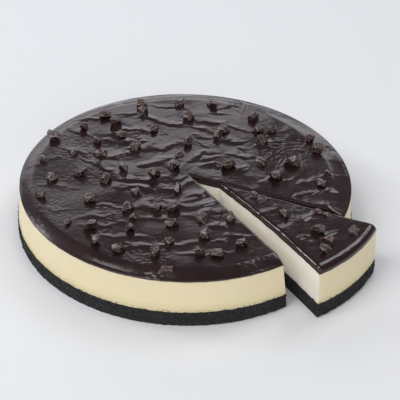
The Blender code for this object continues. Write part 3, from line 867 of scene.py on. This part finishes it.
def crumb_grains_tree():
    """Crumbs standing on the upright faces of the base, above a floor that keeps them off its foot."""
    tree = Tree("crumb_grains", Density=260000.0, Small=0.00030, Large=0.00080, Floor=0.0022, Upright=0.75,
                Material=None)
    normal = tree.add("GeometryNodeInputNormal")
    parts = tree.add("ShaderNodeSeparateXYZ", {0: normal.outputs[0]})
    upright = tree.math("LESS_THAN", tree.math("ABSOLUTE", parts.outputs[2]), tree.size("Upright"))
    place = tree.add("GeometryNodeInputPosition")
    levels = tree.add("ShaderNodeSeparateXYZ", {0: place.outputs[0]})
    raised = tree.math("GREATER_THAN", levels.outputs[2], tree.size("Floor"))
    chosen = tree.math("MULTIPLY", upright, raised)
    points = tree.add("GeometryNodeDistributePointsOnFaces", {
        "Mesh": tree.source.outputs[0], "Selection": chosen, "Density": tree.size("Density"), "Seed": 7})
    grain = tree.add("GeometryNodeMeshIcoSphere", {"Radius": 1.0, "Subdivisions": 1})
    bumpy = tree.add("ShaderNodeTexNoise", {"Scale": 1.3, "Detail": 1.0}, noise_dimensions="3D")
    uneven = tree.add("ShaderNodeVectorMath", {
        0: bumpy.outputs[1], 1: (0.5, 0.5, 0.5)}, operation="SUBTRACT")
    lumpy = tree.add("GeometryNodeSetPosition", {"Geometry": grain.outputs[0], "Offset": uneven.outputs[0]})
    width = tree.add("FunctionNodeRandomValue", {2: tree.size("Small"), 3: tree.size("Large"), "Seed": 3})
    full_turn = (6.3, 6.3, 6.3)
    turn = tree.add("FunctionNodeRandomValue", {0: (0.0, 0.0, 0.0), 1: full_turn, "Seed": 5},
                    data_type="FLOAT_VECTOR")
    scattered = tree.add("GeometryNodeInstanceOnPoints", {
        "Points": points.outputs[0], "Instance": lumpy.outputs[0],
        "Rotation": turn.outputs[0], "Scale": width.outputs[1]})
    return tree.finish(scattered.outputs[0])


# Materials

class Finish:
    """A food material under construction."""

    def __init__(self, name, colour, roughness):
        self.material = bpy.data.materials.new(name)
        self.material.use_nodes = True
        self.nodes = self.material.node_tree.nodes
        self.links = self.material.node_tree.links
        self.shader = self.nodes["Principled BSDF"]
        self.set("Base Color", (*colour, 1.0))
        self.set("Roughness", roughness)
        self.where = self.nodes.new("ShaderNodeTexCoord").outputs["Object"]

    def set(self, name, value):
        if isinstance(value, bpy.types.NodeSocket):
            self.links.new(value, self.shader.inputs[name])
        else:
            self.shader.inputs[name].default_value = value

    def node(self, kind, links=None, **settings):
        node = self.nodes.new(kind)
        for key, value in settings.items():
            setattr(node, key, value)
        for key, value in (links or {}).items():
            if isinstance(value, bpy.types.NodeSocket):
                self.links.new(value, node.inputs[key])
            else:
                node.inputs[key].default_value = value
        return node

    def math(self, operation, first, second=0.0):
        return self.node("ShaderNodeMath", {0: first, 1: second}, operation=operation).outputs[0]

    def noise(self, scale, detail=3.0, roughness=0.55, where=None):
        links = {"Vector": where or self.where, "Scale": scale, "Detail": detail, "Roughness": roughness}
        return self.node("ShaderNodeTexNoise", links).outputs[0]

    def attribute(self, name):
        """A value that the mesh carries."""
        return self.node("ShaderNodeAttribute", attribute_name=name).outputs["Fac"]

    def ramp(self, factor, *stops):
        """Colours or greys by factor: each stop is (place, value)."""
        node = self.node("ShaderNodeValToRGB", {0: factor})
        elements = node.color_ramp.elements
        while len(elements) < len(stops):
            elements.new(0.5)
        for element, (place, value) in zip(elements, stops):
            element.position = place
            element.color = (value, value, value, 1.0) if isinstance(value, float) else (*value, 1.0)
        return node.outputs[0]

    def mix(self, factor, first, second):
        node = self.node("ShaderNodeMix", data_type="RGBA")
        for socket, value in ((node.inputs[0], factor), (node.inputs[6], first), (node.inputs[7], second)):
            if isinstance(value, bpy.types.NodeSocket):
                self.links.new(value, socket)
            elif isinstance(value, tuple):
                socket.default_value = (*value, 1.0)
            else:
                socket.default_value = value
        return node.outputs[2]

    def bump(self, *heights):
        """Bumps laid over each other: each is (height, depth in metres, strength)."""
        normal = None
        for height, depth, strength in heights:
            links = {"Height": height, "Distance": depth, "Strength": strength}
            if normal:
                links["Normal"] = normal
            normal = self.node("ShaderNodeBump", links).outputs[0]
        self.set("Normal", normal)


def ganache_finish():
    """Dark and glossy, with faint knife lines in patches, a satin far left and a high gloss on the cuts."""
    finish = Finish("dark_ganache", (0.017, 0.010, 0.010), 0.14)
    sweep = finish.node("ShaderNodeAttribute", attribute_name="sweep").outputs["Vector"]
    strokes = finish.node("ShaderNodeMapping", {"Vector": sweep, "Scale": (45.0, 520.0, 60.0)})
    lines = finish.noise(1.0, 3.0, 0.6, strokes.outputs[0])
    lined = finish.ramp(finish.noise(34.0, 2.0), (0.48, 0.0), (0.62, 1.0))
    masked = finish.math("MULTIPLY", lines, lined)
    grainy = finish.math("MAXIMUM", lined, finish.attribute("satin"))
    grain = finish.math("MULTIPLY", finish.noise(460.0, 4.0, 0.6), grainy)
    tint = finish.ramp(finish.noise(38.0, 2.0), (0.3, (0.017, 0.007, 0.008)), (0.7, (0.026, 0.012, 0.013)))
    finish.set("Base Color", tint)
    sheen = finish.ramp(finish.noise(70.0, 3.0), (0.35, 0.12), (0.75, 0.24))
    dried = finish.mix(finish.attribute("satin"), sheen, (0.27, 0.27, 0.27))
    finish.set("Roughness", finish.mix(finish.attribute("pressed"), dried, (0.08, 0.08, 0.08)))
    finish.set("IOR", 1.5)
    finish.bump((masked, 0.00012, 0.5), (grain, 0.00016, 0.5))
    return finish.material


def filling_finish():
    """Ivory and satin, yellower low on the baked side, whiter on the cuts, with dark crumbs at its foot."""
    finish = Finish("baked_filling", (0.84, 0.76, 0.58), 0.5)
    levels = finish.node("ShaderNodeSeparateXYZ", {0: finish.where}).outputs[2]
    share = finish.node("ShaderNodeMapRange", {
        "Value": levels, "From Min": CRUST_TOP, "From Max": CRUST_TOP + 0.007}).outputs[0]
    cloud = finish.noise(60.0, 3.0)
    pale = finish.mix(cloud, (0.89, 0.78, 0.54), (0.85, 0.74, 0.49))
    side = finish.mix(share, (0.80, 0.68, 0.40), pale)
    cut_face = finish.mix(cloud, (0.97, 0.91, 0.83), (0.93, 0.87, 0.77))
    cream = finish.mix(finish.attribute("cut"), side, cut_face)
    foot = finish.node("ShaderNodeMapRange", {
        "Value": levels, "From Min": CRUST_TOP, "From Max": CRUST_TOP + 0.0026,
        "To Min": 1.0, "To Max": 0.0}).outputs[0]
    crumbs = finish.ramp(finish.noise(650.0, 3.0, 0.6), (0.54, 0.0), (0.62, 0.9))
    finish.set("Base Color", finish.mix(finish.math("MULTIPLY", crumbs, foot), cream, (0.09, 0.06, 0.045)))
    finish.set("Subsurface Weight", 0.30)
    finish.set("Subsurface Radius", (0.009, 0.007, 0.004))
    finish.set("Subsurface Scale", 1.0)
    finish.bump((finish.noise(160.0, 3.0), 0.0004, 0.3), (finish.noise(1300.0, 2.0), 0.0001, 0.4))
    return finish.material


def crumb_finish():
    """Pressed cocoa crumb, nearly black, with paler specks."""
    finish = Finish("cocoa_crumb", (0.022, 0.018, 0.018), 0.8)
    specks = finish.noise(800.0, 4.0, 0.75)
    dark, pale = (0.46, (0.003, 0.003, 0.004)), (0.68, (0.055, 0.054, 0.064))
    finish.set("Base Color", finish.ramp(specks, dark, pale))
    finish.bump((finish.noise(700.0, 5.0, 0.75), 0.0010, 1.0))
    return finish.material


def bit_finish():
    """Broken chocolate: dark flanks, tops painted paler in patches as a painted sheen, and pale edges that
    are partly scuffs and partly a painted highlight.
    """
    finish = Finish("chopped_chocolate", (0.045, 0.028, 0.026), 0.26)
    normal = finish.node("ShaderNodeNewGeometry").outputs["Normal"]
    upward = finish.node("ShaderNodeSeparateXYZ", {0: normal}).outputs[2]
    scuff_and_sheen_patches = finish.ramp(finish.noise(700.0, 4.0, 0.65), (0.40, 0.0), (0.60, 1.0))
    # The upward-facing tops are painted paler in patches: a painted sheen for the light they catch.
    painted_top_sheen = finish.math("MULTIPLY", finish.ramp(upward, (0.35, 0.0), (0.85, 0.8)), scuff_and_sheen_patches)
    plain = finish.mix(painted_top_sheen, (0.022, 0.012, 0.011), (0.155, 0.106, 0.102))
    # The bevelled edges are painted paler in patches: partly scuffed wear, partly a painted highlight.
    edges = finish.math("MULTIPLY", finish.attribute("edge_wear_and_glint"), scuff_and_sheen_patches)
    finish.set("Base Color", finish.mix(edges, plain, (0.28, 0.20, 0.19)))
    finish.bump((finish.noise(900.0, 3.0, 0.6), 0.0003, 0.35))
    return finish.material


# Stage

# The photograph's view: lens and sensor in millimetres, the eye's place, and its yaw, pitch and roll
LENS = 144.0
SENSOR = 36.0
EYE = (0.0, -0.9956, 0.7155)
EYE_ANGLES = (0.64, 34.93, 1.34)

# Lights seen in a direction from the middle of the cake's top: azimuth and elevation in degrees, distance,
# width, height, radiance and colour
LIGHTS = {
    "key_left": (162.0, 24.0, 2.2, 0.6, 0.6, 9.2, (0.96, 0.98, 1.0)),
    "band_right": (46.0, 50.0, 2.2, 0.9, 1.0, 3.7, (1.0, 1.0, 1.0)),
    "above_left": (215.0, 50.0, 2.2, 1.1, 1.1, 4.3, (1.0, 0.99, 0.97)),
    "above_notch": (236.0, 62.0, 2.2, 0.45, 0.45, 10.0, (1.0, 0.98, 0.96)),
    "fill_front": (-73.0, 25.0, 2.6, 3.0, 1.2, 2.0, (1.0, 0.96, 0.90)),
}

# Upright panels behind the cake, which shine in its top: place, width, height, radiance and colour
PANELS = {
    "panel_behind": ((-0.59, 2.0, 0.785), 1.62, 1.17, 1.60, (0.97, 0.94, 1.0)),
    "low_panel_behind": ((0.56, 2.0, 0.625), 0.50, 0.85, 1.40, (0.96, 0.95, 1.0)),
}

FLOOR_REACH = 6.0
FLOOR_COLOUR = (0.85, 0.87, 0.91, 1.0)
ROOM_COLOUR = (0.92, 0.95, 1.0, 1.0)
ROOM_STRENGTH = 0.18


def camera():
    """A long lens, a little over a metre away, looking down at 35 degrees."""
    data = bpy.data.cameras.new("camera")
    data.sensor_width = SENSOR
    data.lens = LENS
    data.clip_start = 0.05
    data.clip_end = 30.0
    eye = bpy.data.objects.new("camera", data)
    yaw, pitch, roll = (math.radians(angle) for angle in EYE_ANGLES)
    turned = Matrix.Rotation(-yaw, 4, "Z") @ Matrix.Rotation(math.pi / 2 - pitch, 4, "X")
    eye.matrix_world = Matrix.Translation(EYE) @ turned @ Matrix.Rotation(roll, 4, "Z")
    bpy.context.scene.collection.objects.link(eye)
    bpy.context.scene.camera = eye


def soft_light(name, azimuth, elevation, distance, width, height, radiance, colour):
    """A flat rectangular light that faces the cake from this direction."""
    data = bpy.data.lights.new(name, "AREA")
    data.shape = "RECTANGLE"
    data.size = width
    data.size_y = height
    data.energy = radiance * math.pi * width * height
    data.color = colour
    light = bpy.data.objects.new(name, data)
    level = math.cos(math.radians(elevation))
    toward = Vector((*(level * heading(azimuth)), math.sin(math.radians(elevation))))
    light.location = distance * toward + Vector((0.0, 0.0, GANACHE_TOP))
    light.rotation_euler = toward.to_track_quat("Z", "Y").to_euler()
    bpy.context.scene.collection.objects.link(light)
    return light


def studio():
    """A pale floor, two low panels behind, a key from the left, a band behind right and one over the left,
    a small one over the notch, and a broad fill in front."""
    mesh = bpy.data.meshes.new("floor")
    corners = [(FLOOR_REACH * x, FLOOR_REACH * y, 0.0) for x, y in ((-1, -1), (1, -1), (1, 1), (-1, 1))]
    mesh.from_pydata(corners, [], [(0, 1, 2, 3)])
    pale = bpy.data.materials.new("pale_floor")
    pale.use_nodes = True
    shader = pale.node_tree.nodes["Principled BSDF"]
    shader.inputs["Base Color"].default_value = FLOOR_COLOUR
    shader.inputs["Roughness"].default_value = 0.6
    mesh.materials.append(pale)
    floor = bpy.data.objects.new("floor", mesh)
    bpy.context.scene.collection.objects.link(floor)
    for name, (spot, *facts) in PANELS.items():
        soft_light(name, 90.0, 0.0, 2.0, *facts).location = spot
    for name, facts in LIGHTS.items():
        soft_light(name, *facts)
    world = bpy.data.worlds.new("soft_room")
    world.use_nodes = True
    background = world.node_tree.nodes["Background"]
    background.inputs["Color"].default_value = ROOM_COLOUR
    background.inputs["Strength"].default_value = ROOM_STRENGTH
    bpy.context.scene.world = world
    bpy.context.scene.view_settings.view_transform = "Standard"


def place(piece, slot, *nodes):
    """Hand over a finished piece: attach it to the root body and hide the solids that it stands for; slot is
    not used.
    """
    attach(piece, "root")
    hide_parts(*nodes)


def dress():
    """Make the pieces of the cake and of its slice, and the bits on both."""
    dark, cream = ganache_finish(), filling_finish()
    crumb, chocolate = crumb_finish(), bit_finish()
    grains = crumb_grains_tree()
    for prefix, portion, base in (("cake", WHOLE, "crust_base"), ("slice", SLICE, "slice_crust")):
        node = "" if prefix == "cake" else "slice_"
        place(ganache_piece(f"{prefix}_spread", portion, dark), "dark_ganache", node + "ganache")
        place(filling_piece(f"{prefix}_baked_cream", portion, cream), "baked_filling", node + "filling")
        body = crust_piece(f"{prefix}_crumb_base", portion, crumb)
        loose = bpy.data.objects.new(f"{prefix}_crumb_grains", body.data.copy())
        bpy.context.scene.collection.objects.link(loose)
        place(body, "cocoa_crumb", base)
        place(grown(loose, grains, Material=crumb), "cocoa_crumb", base)
    bits = bpy.data.objects.new("chopped_bits", bits_mesh())
    bpy.context.scene.collection.objects.link(bits)
    grown(bits, broken_bits_tree(), Material=chocolate)
    bits.data.shade_smooth()
    bits.data.set_sharp_from_angle(angle=math.radians(CRISP_BIT))
    place(bits, "chopped_chocolate", "ganache", "slice_ganache")


camera()
studio()
dress()
